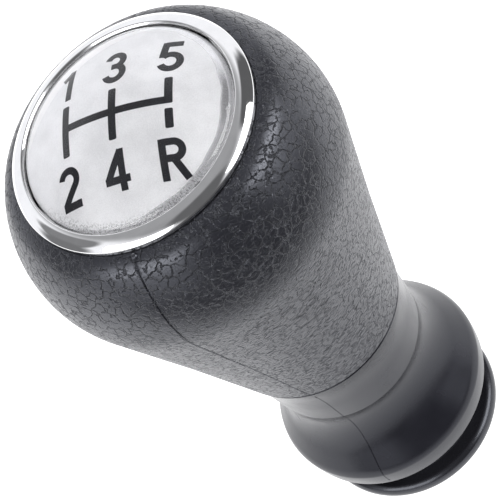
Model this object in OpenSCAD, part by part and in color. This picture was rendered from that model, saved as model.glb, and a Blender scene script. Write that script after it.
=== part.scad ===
// Gear shift knob for a manual gearbox.
// The knob is turned about Z. The base of the flange is at Z = 0, and the driver sits towards -Y.
// Every outline is a chain of arcs. An arc is [centre, radius, start angle, end angle], with the
// angle of its outward normal above the horizontal, and a negative radius where it is hollow.

/* [Grip] */
// Widest diameter of the grip
grip_d = 50; // [47:0.5:56]
// Height of the widest place
belly_z = 82; // [78:0.5:90]
// Outline radius above the widest place
crown_r = 19.6; // [17:0.1:24]
// Angle that the crown turns through
crown_a = 34.5; // [30:0.5:40]
// Outline radius of the shoulder under the chrome ring
shoulder_r = 5; // [4:0.1:6.5]
// Angle of the outline where it ends at the chrome ring
rim_a = 74; // [68:1:80]
// Outline radius below the widest place
belly_r = 17.6; // [12:0.1:24]
// Angle by which the taper straightens on its way down
taper_hollow = 2; // [0.5:0.5:4]
// Gap between grip and collar at the seam
seam_gap = 0.3; // [0.2:0.05:0.6]
// Step in from the grip to the collar at the seam
seam_step = 0.05; // [0:0.05:0.3]
// Thickness of the soft skin at the seam
skin_t = 2.8; // [2:0.1:3.2]
// Thickness of the soft skin above the core's rim
skin_rim_t = 2.8; // [2:0.1:3.5]

/* [Core] */
// Wall of the rigid core
core_wall = 2.2; // [1.6:0.1:2.6]
// Lean of the upper part of the core's wall
core_draft = 1.6; // [0.5:0.1:2.5]
// Height of the upper part of the core's wall
core_band_h = 14.3; // [12:0.1:20]
// Thickness of the floor between socket and cavity
core_floor = 3; // [2:0.1:4]
// Number of ribs in the cavity
rib_count = 6; // [4:1:8]
// Thickness of a rib
rib_t = 1.4; // [1:0.1:2]
// Distance from the top of the core to the top of the ribs
rib_drop = 8.5; // [8:0.5:14]
// Radius of the hub where the ribs meet
hub_r = 3.2; // [2.5:0.1:4.5]
// Height and depth of the rings that lock the skin on the core
lock_ring = 0.9; // [0.5:0.1:1.2]
// Number of lock rings
lock_count = 3; // [1:1:4]
// Gap between skin and core
skin_fit = 0.1; // [0.05:0.05:0.2]

/* [Lever socket] */
// Diameter of the blind bore for the gear lever
bore_d = 12; // [10:0.5:12.5]
// Depth of the blind bore
bore_depth = 36; // [30:0.5:37]
// Wall of the bush
bush_wall = 2; // [1.7:0.1:2.2]
// Thickness of the bush's closed end
bush_end = 2; // [1.5:0.1:3]
// Height of the bush's flange above the base
bush_z = 3.4; // [2.9:0.1:3.6]
// Thickness of the bush's flange
bush_flange_t = 1.5; // [1:0.1:1.8]
// Number of slits between the fingers
slit_count = 4; // [3:1:6]
// Width of a slit
slit_w = 1.2; // [0.8:0.1:1.6]
// Height of the slits
slit_h = 17; // [15:0.5:20]
// Wall of the core's spigot round the socket
spigot_wall = 1.3; // [1:0.1:1.5]
// Fit between bush and socket
bush_fit = 0.15; // [0.1:0.05:0.2]
// Height of the spring clip
clip_h = 5; // [3:0.5:6]
// Height of the clip above the bush's flange
clip_rise = 4.5; // [3:0.5:6]
// Thickness of the spring clip's band
clip_t = 0.6; // [0.4:0.1:0.7]
// Room for the clip to open in the socket
clip_room = 0.35; // [0.3:0.05:0.5]
// Gap round the clip in its groove
clip_fit = 0.05; // [0.02:0.01:0.1]
// Depth of the clip's groove in the bush
clip_groove = 0.4; // [0.2:0.1:0.6]
// Opening of the spring clip in degrees
clip_open = 50; // [30:5:80]
// Width of the keys that stop the collar turning
key_w = 2; // [1.5:0.1:3]
// Height of the keys above the spigot
key_h = 1.2; // [0.8:0.1:1.5]
// Length of the keys
key_len = 8; // [5:0.5:9]
// How far the bush's snap ridge stands proud
snap_h = 0.35; // [0.2:0.05:0.4]
// Distance from the bore's closed end down to the snap ridge
snap_drop = 4; // [3:0.5:6]

/* [Collar] */
// Wall of the collar outside its keyways at the seam
neck_wall = 4; // [3.5:0.1:4.8]
// Height from the waist up to the seam
neck_len = 16.6; // [15.6:0.1:18]
// Lean of the collar just below the seam
neck_a = 17; // [14:0.5:20]
// Lean of the straight neck
neck_straight_a = 2; // [1:0.5:4]
// Height that the outline takes to become straight
neck_h = 7; // [5:0.5:8]
// Angle of the tuck above the waist
tuck_a = 26; // [22:1:28]
// Outline radius where the tuck starts
tuck_r = 5; // [4:0.5:7]
// Diameter at the waist
waist_d = 25; // [24.6:0.1:25.8]
// Steepest lean of the bell
flare_a = 40; // [38:0.5:44]
// Hollow radius between waist and bell
flare_r = 6; // [4.5:0.1:7]
// Height from the bell's widest place up to the waist
bell_h = 10.4; // [9.9:0.1:11.4]
// Lean of the lip band
lip_a = 14; // [8:1:18]
// Height of the lip band
lip_h = 3.4; // [2.8:0.1:4]
// Height of the lip's lower edge
lip_z = 9.8; // [9.2:0.1:10.4]
// Wall of the bell
bell_wall = 1.9; // [1.5:0.1:2.1]
// Wall of the sleeve inside the bell
sleeve_wall = 0.95; // [0.8:0.05:1.1]
// Fit between collar and spigot
collar_fit = 0.15; // [0.1:0.05:0.2]
// Number of gussets in the bell
gusset_count = 8; // [4:1:12]
// Thickness of a gusset
gusset_t = 1; // [0.8:0.1:1.6]

/* [Gaiter ring] */
// Diameter of the base flange
flange_d = 31.5; // [30:0.1:34]
// Thickness of the base flange
flange_t = 2.8; // [2.4:0.1:2.9]
// Radius of the flange's edge
flange_edge = 1.3; // [0.8:0.1:1.4]
// Wall of the tube behind the groove
spool_wall = 1.6; // [1.4:0.1:1.8]
// Room for the gaiter between the tube and the bell's wall
gaiter_room = 2.9; // [2.6:0.1:3.4]
// Height of the tube's upper end above the bell's widest place
spool_rise = 2.8; // [1.5:0.1:3.3]
// Height of the snap bead's middle
bead_z = 11.4; // [10.5:0.1:12.5]
// How far the snap bead stands proud
bead_h = 0.5; // [0.3:0.05:0.6]
// Fit between gaiter ring and collar sleeve
ring_fit = 0.15; // [0.1:0.05:0.2]

/* [Badge] */
// Distance from the grip's rim in to the chrome ring's edge
bezel_in = 0.15; // [0.1:0.05:0.5]
// Width of the chrome ring seen from above
bezel_w = 2.4; // [2:0.1:2.8]
// How far the chrome ring overhangs the grip's mouth
bezel_lip = 0.55; // [0.4:0.05:0.8]
// Gap between the grip's rim and the chrome ring
bezel_gap = 0.3; // [0.2:0.05:0.5]
// Height of the chrome ring's outer edge
bezel_edge = 0.4; // [0.3:0.05:0.6]
// Radius of the ring's outer edge
bezel_round = 0.35; // [0.2:0.05:0.5]
// Angle of the ring's face at its outer edge
face_low_a = 41; // [35:1:48]
// Angle of the ring's face at its crest
face_top_a = 81; // [74:1:86]
// Radius of the ring's crest
crest_round = 0.25; // [0.15:0.05:0.4]
// Lean of the ring's inner bevel
bevel_a = 50; // [40:1:60]
// Width of the ring's inner bevel
bevel_w = 0.5; // [0.4:0.05:0.7]
// Thickness of the ring's lower web
web_t = 0.8; // [0.6:0.1:1.2]
// Number of snap legs
leg_count = 4; // [3:1:6]
// Width of a snap leg
leg_w = 3; // [2:0.1:4]
// Thickness of a snap leg
leg_t = 0.9; // [0.8:0.1:1.1]
// Length of a snap leg
leg_len = 6.3; // [5:0.1:7]
// How far a leg's barb stands out
barb_h = 0.8; // [0.5:0.1:1]
// Height of a leg's barb
barb_z = 1.6; // [1.2:0.1:2]
// Thickness of the foam pad
pad_t = 0.6; // [0.4:0.1:0.8]
// Thickness of the silver plate
plate_t = 0.3; // [0.2:0.05:0.4]
// Rise of the silver plate from its edge to its middle
plate_rise = 4.4; // [3:0.1:5]
// Thickness of the clear dome in the middle
lens_t = 1.8; // [1.4:0.1:2.4]
// Height of the clear dome at its edge
lens_edge = 0.8; // [0.6:0.1:1]
// Depth of the dome's edge below the ring's crest
lens_drop = 0.35; // [0.2:0.05:0.6]
// Fit round the badge pieces
badge_fit = 0.15; // [0.1:0.05:0.2]
// Wall of the badge seat
seat_t = 1.4; // [1.2:0.1:1.6]
// Depth of the badge seat's plug in the chrome ring
seat_plug = 0.8; // [0.5:0.1:1.5]
// Wall of the badge seat's plug
seat_wall = 1.2; // [0.8:0.1:2]

/* [Hidden] */
$fn = 96;
// Largest angle between two points of an arc
arc_step = 3.5;
// How far a cutting shape runs past what it cuts
over = 1;
// Two points nearer than this are one point
same = 0.001;
// Straight stretch by which the grip's outline is carried past the seam before it is cut level
tail = 6;

function normal_at(a) = [cos(a), sin(a)];
function run_at(a) = [sin(a), -cos(a)];
function arc_from(p, r, a0, a1) = [p - r * normal_at(a0), r, a0, a1];
function arc_up_from(p, r, a0, a1) = [p - r * normal_at(a1), r, a0, a1];
function arc_top(arc) = arc[0] + arc[1] * normal_at(arc[2]);
function arc_foot(arc) = arc[0] + arc[1] * normal_at(arc[3]);
function arc_count(arc) = max(2, ceil(abs(arc[3] - arc[2]) / arc_step));
function arc_points(arc, inset) =
    let (n = arc_count(arc))
    [for (i = [0:n]) arc[0] + (arc[1] - inset) * normal_at(arc[2] + (arc[3] - arc[2]) * i / n)];
function all_points(arcs, inset) = [for (arc = arcs) each arc_points(arc, inset)];
function single(pts) = [for (i = [0:len(pts) - 1]) if (i == 0 || norm(pts[i] - pts[i - 1]) > same) pts[i]];
function outline(arcs, inset = 0) = single(all_points(arcs, inset));

// Radius of the sphere that rises that far over a disc, and the outline of a sphere's cap from the
// axis out to a radius or back
function sphere_r(disc_r, rise) = (disc_r * disc_r + rise * rise) / (2 * rise);
function cap_out(r, z, reach) = outline([[[0, z], r, 90, acos(reach / r)]]);
function cap_back(r, z, reach) = outline([[[0, z], r, acos(reach / r), 90]]);

// Lever socket
bore_r = bore_d / 2;
bush_r = bore_r + bush_wall;
socket_r = bush_r + bush_fit;
bush_foot_z = bush_z + bush_flange_t;
bore_top_z = bush_z + bore_depth;
bush_top_z = bore_top_z + bush_end;
socket_top_z = bush_top_z + bush_fit;
clip_z = bush_foot_z + clip_rise;
clip_r = bush_r - clip_groove + clip_fit;
relief_r = clip_r + clip_t + clip_room;
relief_top_z = bush_foot_z + slit_h;
slit_top_z = relief_top_z - over;
spigot_r = relief_r + spigot_wall;
snap_z = bore_top_z - snap_drop;

// Sleeve, gaiter ring and the heights that stand on them
collar_bore_r = spigot_r + collar_fit;
sleeve_r = collar_bore_r + sleeve_wall;
sleeve_foot_z = bush_foot_z;
bush_flange_r = sleeve_r - ring_fit;
ring_r = sleeve_r + ring_fit;
spool_r = ring_r + spool_wall;
flange_r = flange_d / 2;
bell_z = lip_z + lip_h;
waist_z = bell_z + bell_h;
seam_z = waist_z + neck_len;
spool_top_z = bell_z + spool_rise;
collar_top_r = collar_bore_r + key_h + neck_wall;

// Outline of the grip, from the chrome ring down. The lean of its taper comes from the diameters
// and heights of its two ends.
seam_r = collar_top_r + seam_step;
taper_run = [grip_d / 2 - belly_r - seam_r, belly_z - seam_z];
taper_turn = asin(belly_r * cos(taper_hollow / 2) / norm(taper_run));
taper_mid_a = taper_turn + atan2(taper_run[0], taper_run[1]);
taper_a = taper_mid_a + taper_hollow / 2;
seam_a = taper_mid_a - taper_hollow / 2;
belly_p = [grip_d / 2, belly_z];
crown_arc = arc_up_from(belly_p, crown_r, crown_a, 0);
shoulder_arc = arc_up_from(arc_top(crown_arc), shoulder_r, rim_a, crown_a);
belly_arc = arc_from(belly_p, belly_r, 0, -taper_a);
taper_p = arc_foot(belly_arc);
taper_chord = (taper_p[1] - seam_z) / cos(taper_mid_a);
taper_r = taper_chord / (2 * sin(taper_hollow / 2));
taper_arc = arc_from(taper_p, -taper_r, -taper_a, -seam_a);
grip_arcs = [shoulder_arc, crown_arc, belly_arc, taper_arc];
grip_top = arc_top(shoulder_arc);
seam_p = arc_foot(taper_arc);
rim_z = grip_top[1];

// Chrome ring and badge
bezel_r = grip_top[0] - bezel_in;
window_r = bezel_r - bezel_w;
bezel_z = rim_z + bezel_gap;
edge_arc = arc_up_from([bezel_r, bezel_z + bezel_edge], bezel_round, face_low_a, 0);
face_dr = bezel_w - bevel_w - (bezel_r - arc_top(edge_arc)[0]);
face_r = face_dr / (cos(face_low_a) - cos(face_top_a));
face_arc = arc_up_from(arc_top(edge_arc), face_r, face_top_a, face_low_a);
crest_arc = arc_up_from(arc_top(face_arc), crest_round, 90 + bevel_a, face_top_a);
crest_z = crest_arc[0][1] + crest_round;
bevel_foot_z = arc_top(crest_arc)[1] - (arc_top(crest_arc)[0] - window_r) * tan(bevel_a);
mouth_r = bezel_r - bezel_lip;
bezel_body_r = mouth_r - badge_fit;
core_top_z = rim_z - skin_rim_t;
core_top_r = mouth_r - skin_fit;
badge_r = window_r - badge_fit;
seat_z = core_top_z + web_t;

// Spheres of the badge. The pieces under the clear dome share one middle.
lens_foot_z = crest_z - lens_drop - lens_edge;
plate_r = sphere_r(badge_r, plate_rise);
plate_low_r = plate_r - plate_t;
pad_low_r = plate_low_r - pad_t;
stack_z = lens_foot_z + plate_rise - plate_r;
lens_rise = plate_rise + lens_t - lens_edge;
lens_r = sphere_r(badge_r, lens_rise);
lens_z = lens_foot_z + plate_rise + lens_t - lens_r;

// Core
core_foot_r = seam_r - skin_t;
core_foot_z = seam_z - seam_gap / 2;
core_bend_r = core_top_r - core_band_h * tan(core_draft);
core_bend_z = core_top_z - core_band_h;
cavity_top_r = core_top_r - core_wall;
cavity_bend_r = core_bend_r - core_wall;
cavity_z = socket_top_z + core_floor;
cavity_foot_r = core_r(cavity_z) - core_wall;
leg_r = cavity_top_r - leg_len * tan(core_draft) - badge_fit;
web_r = leg_r - leg_t;

// Collar, from the seam down
collar_top_z = core_foot_z;
collar_top = [collar_top_r, collar_top_z];
neck_mid_a = (neck_a + neck_straight_a) / 2;
neck_r = neck_h / cos(neck_mid_a) / (2 * sin((neck_a - neck_straight_a) / 2));
neck_arc = arc_from(collar_top, -neck_r, -neck_a, -neck_straight_a);
neck_p = arc_foot(neck_arc);
waist_r = waist_d / 2;
tuck_step = tuck_r * (normal_at(-tuck_a) - normal_at(-neck_straight_a));
half_tuck = tan(tuck_a / 2);
straight_h = (neck_p[1] + tuck_step[1] - waist_z - (neck_p[0] + tuck_step[0] - waist_r) / half_tuck)
    / (1 - tan(neck_straight_a) / half_tuck);
tuck_p = neck_p + straight_h * [-tan(neck_straight_a), -1];
tuck_arc = arc_from(tuck_p, tuck_r, -neck_straight_a, -tuck_a);
waist_in_r = (arc_foot(tuck_arc)[0] - waist_r) / (1 - cos(tuck_a));
waist_arc = arc_from(arc_foot(tuck_arc), -waist_in_r, -tuck_a, 0);
bell_p = [spool_r + gaiter_room + bell_wall, bell_z];
bell_dr = bell_p[0] - waist_r;
bell_dz = waist_z - bell_z;
flare_sum = (bell_dz * sin(flare_a) - bell_dr * cos(flare_a)) / (1 - cos(flare_a));
flare_arc = arc_from([waist_r, waist_z], -flare_r, 0, flare_a);
bell_arc = arc_up_from(bell_p, flare_sum - flare_r, flare_a, 0);
lip_r = (bell_z - lip_z) / sin(lip_a);
lip_arc = arc_from(bell_p, lip_r, 0, -lip_a);
collar_arcs = [neck_arc, tuck_arc, waist_arc, flare_arc, bell_arc, lip_arc];

module turned() {
    rotate_extrude() children();
}

module around(count, from = 0) {
    for (i = [0:count - 1]) rotate([0, 0, from + 360 * i / count]) children();
}

// A block w wide that runs outwards from radius r0 to radius r1
module radial_block(r0, r1, w, z0, z1) {
    translate([r0, -w / 2, z0]) cube([r1 - r0, w, z1 - z0]);
}

module disc(r, z0, z1) {
    translate([0, 0, z0]) cylinder(r = r, h = z1 - z0);
}

module tube(r0, r1, z0, z1) {
    turned() translate([r0, z0]) square([r1 - r0, z1 - z0]);
}

// A pointed ridge that stands h out of radius r and has its root inside it
module ridge(r, z, h) {
    root = over / 2;
    turned() polygon([[r - root, z + h + root], [r + h, z], [r - root, z - h - root]]);
}

function core_r(z) =
    core_foot_r + (core_bend_r - core_foot_r) * (z - core_foot_z) / (core_bend_z - core_foot_z);

module core_form(gap = 0) {
    turned() polygon([[0, core_foot_z - gap], [core_foot_r + gap, core_foot_z - gap],
                      [core_bend_r + gap, core_bend_z], [core_top_r + gap, core_top_z + gap],
                      [0, core_top_z + gap]]);
    for (i = [1:lock_count]) {
        z = core_foot_z + i * (core_bend_z - core_foot_z) / (lock_count + 1);
        disc(core_r(z) + lock_ring + gap, z - lock_ring / 2 - gap, z + lock_ring / 2 + gap);
    }
}

// Soft grained skin: one moulding with a level foot and a mouth for the chrome ring
module grip_skin() {
    pts = outline(grip_arcs);
    last = pts[len(pts) - 1];
    color("#2f2f31") difference() {
        turned() polygon(concat([[0, rim_z]], pts, [last + tail * run_at(-seam_a), [0, last[1] - tail]]));
        disc(grip_d, seam_z - 2 * tail, seam_z + seam_gap / 2);
        core_form(skin_fit);
        disc(mouth_r, core_top_z - over, rim_z + over);
    }
}

module core_cavity() {
    turned() polygon([[0, cavity_z], [cavity_foot_r, cavity_z], [cavity_bend_r, core_bend_z],
                      [cavity_top_r, core_top_z], [cavity_top_r, core_top_z + over],
                      [0, core_top_z + over]]);
}

// Ribs from a middle hub to the wall of the cavity
module core_ribs() {
    rib_top_z = core_top_z - rib_drop;
    root = core_wall / 2;
    intersection() {
        around(rib_count) radial_block(0, grip_d / 2, rib_t, cavity_z - root, rib_top_z);
        turned() polygon([[0, cavity_z - root], [cavity_foot_r + root, cavity_z - root],
                          [cavity_bend_r + root, core_bend_z], [cavity_top_r + root, core_top_z],
                          [0, core_top_z]]);
    }
    disc(hub_r, cavity_z - root, rib_top_z);
}

// Rigid core: a ribbed cup above, the lever socket and the spigot for the collar below
module grip_core() {
    barb_foot_z = core_top_z - leg_len;
    color("#6d6a63") difference() {
        union() {
            difference() {
                core_form();
                core_cavity();
            }
            core_ribs();
            disc(spigot_r, bush_foot_z, core_foot_z + over);
            around(2, 90) radial_block(spigot_r - over, spigot_r + key_h, key_w,
                                       collar_top_z - key_len, collar_top_z + over);
        }
        disc(socket_r, bush_foot_z - over, socket_top_z);
        disc(relief_r, bush_foot_z - over, relief_top_z);
        ridge(socket_r, snap_z, snap_h);
        around(leg_count, 45) radial_block(cavity_top_r - over, leg_r + barb_h + 2 * badge_fit,
            leg_w + 2 * badge_fit, barb_foot_z - badge_fit, barb_foot_z + barb_z + 2 * badge_fit);
    }
}

// Chrome-plated ring with a lower web and snap legs
module bezel_ring() {
    color("#d8dadc") {
        turned() polygon(concat([[window_r, seat_z], [window_r, bevel_foot_z]],
            outline([crest_arc, face_arc, edge_arc]),
            [[bezel_r, bezel_z], [bezel_body_r, bezel_z], [bezel_body_r, core_top_z],
             [web_r, core_top_z], [web_r, seat_z]]));
        around(leg_count, 45) snap_leg();
    }
}

module snap_leg() {
    foot_z = core_top_z - leg_len;
    rotate([90, 0, 0]) translate([0, 0, -leg_w / 2]) linear_extrude(leg_w)
        polygon([[web_r, seat_z - web_t / 2], [leg_r, seat_z - web_t / 2], [leg_r, foot_z + barb_z],
                 [leg_r + barb_h, foot_z + barb_z], [leg_r, foot_z], [web_r, foot_z]]);
}

// Domed cap that closes the core and carries the badge, hollow below
module badge_seat() {
    plug_r = web_r - badge_fit;
    plug_z = core_top_z - seat_plug;
    color("#3a3a3c") turned() polygon(concat(cap_out(pad_low_r, stack_z, badge_r),
        [[badge_r, seat_z], [plug_r, seat_z], [plug_r, plug_z], [plug_r - seat_wall, plug_z]],
        cap_back(pad_low_r - seat_t, stack_z, plug_r - seat_wall)));
}

module badge_pad() {
    color("#1f1f20") turned()
        polygon(concat(cap_out(plate_low_r, stack_z, badge_r), cap_back(pad_low_r, stack_z, badge_r)));
}

module badge_plate() {
    color("#c9cbcf") turned()
        polygon(concat(cap_out(plate_r, stack_z, badge_r), cap_back(plate_low_r, stack_z, badge_r)));
}

// Clear dome: thick in the middle, with a short upright edge
module dome_lens() {
    color("#e8eef2") turned()
        polygon(concat(cap_out(lens_r, lens_z, badge_r), cap_back(plate_r, stack_z, badge_r)));
}

// Outside of the collar carried in to the axis
module collar_form() {
    turned() polygon(concat([[0, collar_top_z]], outline(collar_arcs), [[0, lip_z]]));
}

// Space under the bell, its wall moved in by inset
module bell_space(inset, z0) {
    pts = outline([flare_arc, bell_arc, lip_arc], inset);
    last = pts[len(pts) - 1];
    turned() polygon(concat([[0, pts[0][1]]], pts, [[last[0], z0], [0, z0]]));
}

// Smooth bell-shaped collar with a sleeve that slides over the spigot
module collar() {
    color("#4b4b50") difference() {
        union() {
            difference() {
                collar_form();
                bell_space(bell_wall, lip_z - over);
            }
            disc(sleeve_r, sleeve_foot_z, waist_z);
            ridge(sleeve_r, bead_z, bead_h);
            intersection() {
                around(gusset_count) radial_block(0, bell_p[0], gusset_t, spool_top_z, waist_z - over);
                bell_space(bell_wall / 2, spool_top_z);
            }
        }
        disc(collar_bore_r, sleeve_foot_z - over, collar_top_z + over);
        around(2, 90) radial_block(0, spigot_r + key_h + collar_fit, key_w + 2 * collar_fit,
                                   collar_top_z - key_len - collar_fit, collar_top_z + over);
    }
}

// Base flange with the tube that the gaiter is gathered round
module gaiter_ring() {
    top_arc = arc_from([flange_r - flange_edge, flange_t], flange_edge, 90, 0);
    foot_arc = arc_from([flange_r, flange_edge], flange_edge, 0, -90);
    color("#1b1b1d") difference() {
        union() {
            turned() polygon(concat([[0, flange_t]], outline([top_arc, foot_arc]), [[0, 0]]));
            disc(spool_r, flange_t / 2, spool_top_z);
        }
        disc(ring_r, -over, spool_top_z + over);
        ridge(ring_r, bead_z, bead_h);
    }
}

// Slit sleeve with the blind bore for the gear lever
module lever_bush() {
    color("#8a8f94") difference() {
        union() {
            disc(bush_r, bush_z, bush_top_z);
            disc(bush_flange_r, bush_z, bush_foot_z);
            ridge(bush_r, snap_z, snap_h);
        }
        tube(bush_r - clip_groove, bush_r + over, clip_z, clip_z + clip_h);
        disc(bore_r, bush_z - over, bore_top_z);
        around(slit_count, 45) radial_block(bore_r - over, sleeve_r, slit_w, bush_z - over, slit_top_z);
    }
}

// Open steel band in the bush's groove
module spring_clip() {
    reach = 2 * relief_r;
    half = clip_open / 2;
    color("#b9bcc0") difference() {
        disc(clip_r + clip_t, clip_z + clip_fit, clip_z + clip_h - clip_fit);
        disc(clip_r, clip_z - over, clip_z + clip_h + over);
        translate([0, 0, clip_z - over]) linear_extrude(clip_h + 2 * over)
            polygon([[0, 0], reach * [-sin(half), -cos(half)], reach * [sin(half), -cos(half)]]);
    }
}

grip_skin();
grip_core();
bezel_ring();
badge_seat();
badge_pad();
badge_plate();
dome_lens();
collar();
gaiter_ring();
lever_bush();
spring_clip();
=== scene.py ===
import math

import bmesh
import bpy
from bpy.props import (
    FloatProperty,
    FloatVectorProperty,
    IntProperty,
    PointerProperty,
)
from mathutils import Matrix, Vector


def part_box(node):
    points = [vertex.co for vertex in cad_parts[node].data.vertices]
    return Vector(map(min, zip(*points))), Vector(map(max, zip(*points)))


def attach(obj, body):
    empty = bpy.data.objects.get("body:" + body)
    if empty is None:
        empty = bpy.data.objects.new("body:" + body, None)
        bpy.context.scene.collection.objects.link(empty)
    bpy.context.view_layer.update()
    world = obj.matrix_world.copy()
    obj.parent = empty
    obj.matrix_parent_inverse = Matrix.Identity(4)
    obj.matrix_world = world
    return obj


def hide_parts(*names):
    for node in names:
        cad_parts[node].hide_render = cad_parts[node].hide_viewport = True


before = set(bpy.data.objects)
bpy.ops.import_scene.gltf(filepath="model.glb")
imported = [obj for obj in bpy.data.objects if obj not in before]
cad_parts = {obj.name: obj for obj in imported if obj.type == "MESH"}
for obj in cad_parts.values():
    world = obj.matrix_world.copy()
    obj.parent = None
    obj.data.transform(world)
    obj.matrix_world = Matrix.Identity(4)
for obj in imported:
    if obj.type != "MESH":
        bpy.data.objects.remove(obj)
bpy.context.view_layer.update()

bl_info = {
    "name": "Gear shift knob",
    "version": (1, 0, 0),
    "blender": (4, 5, 0),
    "location": "3D View > Sidebar > Knob",
    "description": "Dresses the gear shift knob: grip, chrome ring, badge, collar and gaiter ring",
    "category": "Object",
}

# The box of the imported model, in metres
MM = 0.001
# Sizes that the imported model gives
GRIP_LOW, GRIP_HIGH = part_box("grip_skin")
COLLAR_LOW, COLLAR_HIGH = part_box("collar")
FLANGE_LOW, FLANGE_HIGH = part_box("gaiter_ring")
RING_LOW, RING_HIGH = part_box("bezel_ring")
DOME_LOW, DOME_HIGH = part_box("dome_lens")
PLATE_LOW, PLATE_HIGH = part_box("badge_plate")

# Steps of a full turn when an outline is spun, and the largest turn between two points of an arc
SPIN_STEPS = 192
ARC_STEP = math.radians(3)
# Vertices nearer than this are one vertex
SAME = 1e-6
# Edges sharper than this stay sharp
SMOOTH_ANGLE = math.radians(35)


# ---------------------------------------------------------------- sizes and colours


def length(name, description, default):
    return FloatProperty(name=name, description=description, default=default, min=0,
                         unit="LENGTH", subtype="DISTANCE", precision=5)


def angle(name, description, degrees):
    return FloatProperty(name=name, description=description, default=math.radians(degrees),
                         subtype="ANGLE")


def colour(name, description, value):
    return FloatVectorProperty(name=name, description=description, default=value, size=3,
                               min=0, max=1, subtype="COLOR")


class GripSizes(bpy.types.PropertyGroup):
    belly_height: length("Belly height", "Height of the widest place", 82 * MM)
    crown_radius: length("Crown radius", "Outline radius above the widest place", 19.6 * MM)
    crown_turn: angle("Crown turn", "Angle that the crown turns through", 34.5)
    shoulder_radius: length("Shoulder radius", "Outline radius under the chrome ring", 5 * MM)
    rim_angle: angle("Rim angle", "Angle of the outline where it ends at the ring", 74)
    belly_radius: length("Belly radius", "Outline radius below the widest place", 17.6 * MM)
    taper_hollow: angle("Taper hollow", "Angle by which the taper straightens", 2)
    seam_radius: length("Seam radius", "Radius of the grip at the seam", 15.33 * MM)
    rim_roll: length("Rim roll", "Radius of the skin's edge at the chrome ring", 0.25 * MM)
    foot_round: length("Foot round", "Radius of the skin's lower edge", 0.2 * MM)
    skin_thickness: length("Skin thickness", "Thickness of the skin at the seam", 2.7 * MM)
    rim_thickness: length("Rim thickness", "Thickness of the skin above the core", 2.7 * MM)
    band_height: length("Band height", "Height of the core's upper band", 14.3 * MM)
    core_draft: angle("Core draft", "Lean of the core's upper band", 1.6)
    mouth_radius: length("Mouth radius", "Radius of the skin's mouth", 18.1 * MM)
    mouth_step: length("Mouth step", "Step from the core's band out to the mouth", 0.01 * MM)
    parting_width: length("Parting line", "Width of the parting groove", 0.32 * MM)
    parting_depth: length("Parting depth", "Depth of the parting groove", 0.16 * MM)
    gate_radius: length("Gate radius", "Radius of the gate mark beside the ring", 0.55 * MM)


class CollarSizes(bpy.types.PropertyGroup):
    neck_angle: angle("Neck angle", "Lean just below the seam", 17)
    straight_angle: angle("Straight angle", "Lean of the straight neck", 4.5)
    neck_height: length("Neck height", "Height in which the outline becomes straight", 7 * MM)
    tuck_angle: angle("Tuck angle", "Angle of the tuck above the waist", 15)
    tuck_radius: length("Tuck radius", "Outline radius where the tuck starts", 1.5 * MM)
    waist_radius: length("Waist radius", "Radius at the waist", 13.1 * MM)
    flare_angle: angle("Flare angle", "Steepest lean of the bell", 32)
    flare_radius: length("Flare radius", "Hollow radius under the waist", 14 * MM)
    bell_height: length("Bell height", "Height from the widest place to the waist", 11.8 * MM)
    brow_angle: angle("Brow angle", "Angle of the bell's face at its lower edge", 16)
    brow_radius: length("Brow radius", "Radius of the edge between bell and lip", 1.4 * MM)
    lip_angle: angle("Lip angle", "Lean of the lip band", 10)
    lip_height: length("Lip height", "Height of the lip band", 3.4 * MM)
    lip_base: length("Lip base", "Height of the lip's lower edge", 9.8 * MM)
    wall: length("Wall", "Wall of the bell", 1.9 * MM)
    bore_radius: length("Bore radius", "Radius of the hole for the spigot", 10.05 * MM)
    sleeve_radius: length("Sleeve radius", "Outer radius of the inner sleeve", 11 * MM)
    edge_round: length("Edge round", "Radius of the collar's edges", 0.25 * MM)
    parting_width: length("Parting line", "Width of the parting groove", 0.22 * MM)
    parting_depth: length("Parting depth", "Depth of the parting groove", 0.12 * MM)
    seam_step: length("Seam step", "Step in from the grip to the collar", 0.08 * MM)
    gusset_base: length("Gusset base", "Height of the gussets' lower edge", 16 * MM)
    gusset_thickness: length("Gusset thickness", "Thickness of a gusset", 1 * MM)
    gusset_count: IntProperty(name="Gussets", description="Number of gussets in the bell",
                              default=8, min=0)


class RingSizes(bpy.types.PropertyGroup):
    width: length("Ring width", "Width of the chrome ring from above", 2.4 * MM)
    edge_height: length("Edge height", "Height of the ring's outer edge", 0.4 * MM)
    edge_round: length("Edge round", "Radius of the ring's outer edge", 0.35 * MM)
    face_low: angle("Face at the edge", "Angle of the face at its outer edge", 41)
    face_top: angle("Face at the crest", "Angle of the face at its crest", 81)
    crest_round: length("Crest round", "Radius of the crest", 0.25 * MM)
    bevel_angle: angle("Bevel angle", "Lean of the inner bevel", 50)
    bevel_width: length("Bevel width", "Width of the inner bevel", 0.38 * MM)
    overhang: length("Overhang", "How far the ring overhangs its body", 0.7 * MM)
    leg_length: length("Leg length", "Length of the snap legs under the web", 6.3 * MM)
    web_thickness: length("Web thickness", "Thickness of the ring's lower web", 0.8 * MM)
    web_reach: length("Web reach", "How far the web reaches in under the badge", 1.6 * MM)
    dome_edge: length("Dome edge", "Height of the clear dome at its edge", 0.8 * MM)
    dome_round: length("Dome round", "Radius of the dome's edge", 0.7 * MM)
    dome_gap: length("Dome gap", "Gap between the clear dome and the plate", 0.05 * MM)
    crest_drop: length("Crest drop", "Depth of the dome's edge below the crest", 0.35 * MM)


class FlangeSizes(bpy.types.PropertyGroup):
    thickness: length("Flange thickness", "Thickness of the base flange", 2.8 * MM)
    edge_radius: length("Flange edge", "Radius of the flange's edge", 1.3 * MM)
    tube_radius: length("Tube radius", "Radius of the tube behind the groove", 12.75 * MM)
    bore_radius: length("Bore radius", "Radius of the hole in the flange", 11.15 * MM)
    corner: length("Corner", "Radius of the small edges", 0.3 * MM)


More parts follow.
